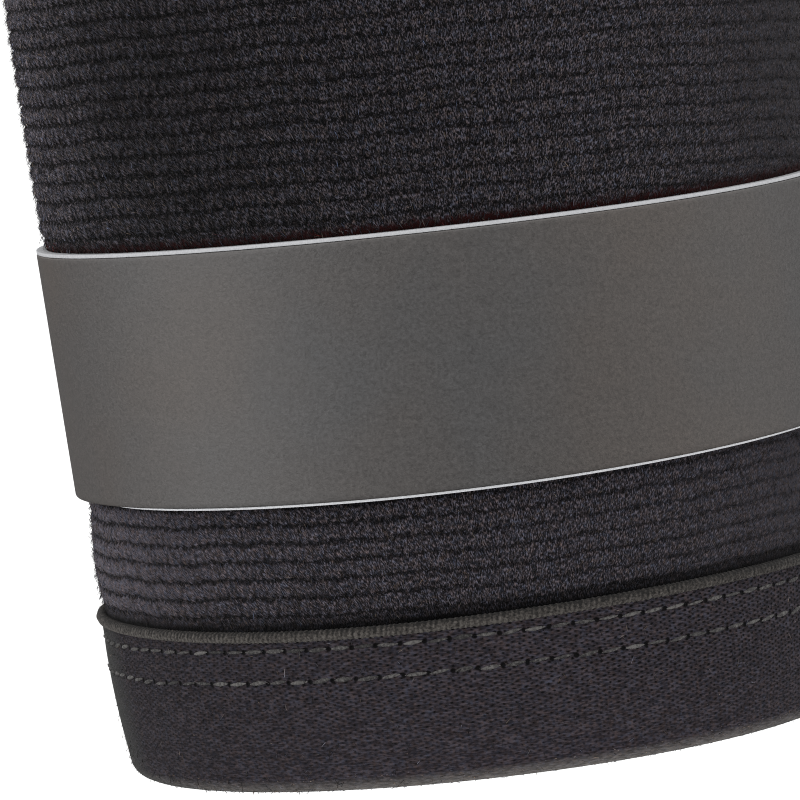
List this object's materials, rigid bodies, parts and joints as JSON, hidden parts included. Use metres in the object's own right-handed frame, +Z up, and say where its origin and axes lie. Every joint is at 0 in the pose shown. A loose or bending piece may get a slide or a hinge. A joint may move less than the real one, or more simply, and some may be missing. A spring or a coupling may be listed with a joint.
{
  "type": "knee support",
  "caption": "Pull-on elastic knee support: a ribbed dark knit tube with folded tape hems, corded edges and a smooth grey band round the calf end, in its worn round form.",
  "frame": {"origin": "on the leg's axis, halfway between the two folded ends", "axes": "+Z runs up the leg from the calf end to the thigh end; the form is round, so +X and +Y are free, and the picture looks along +Y"},
  "size_m": [0.1362, 0.1362, 0.29],
  "materials": {
    "knit": "napped charcoal elastic knit",
    "hem_tape": "fine twill woven elastic tape",
    "grey_thread": "matt spun thread",
    "band_coating": "satin grey coating with a fine speckle",
    "band_backing": "pale matt backing"
  },
  "bodies": {
    "root": {"ribbed_tube": "knit", "band_backing": "band_backing", "band_face": "band_coating", "lower_hem_tape": "hem_tape", "lower_edge_cord": "grey_thread", "upper_hem_tape": "hem_tape", "upper_edge_cord": "grey_thread"}
  },
  "joints": []
}
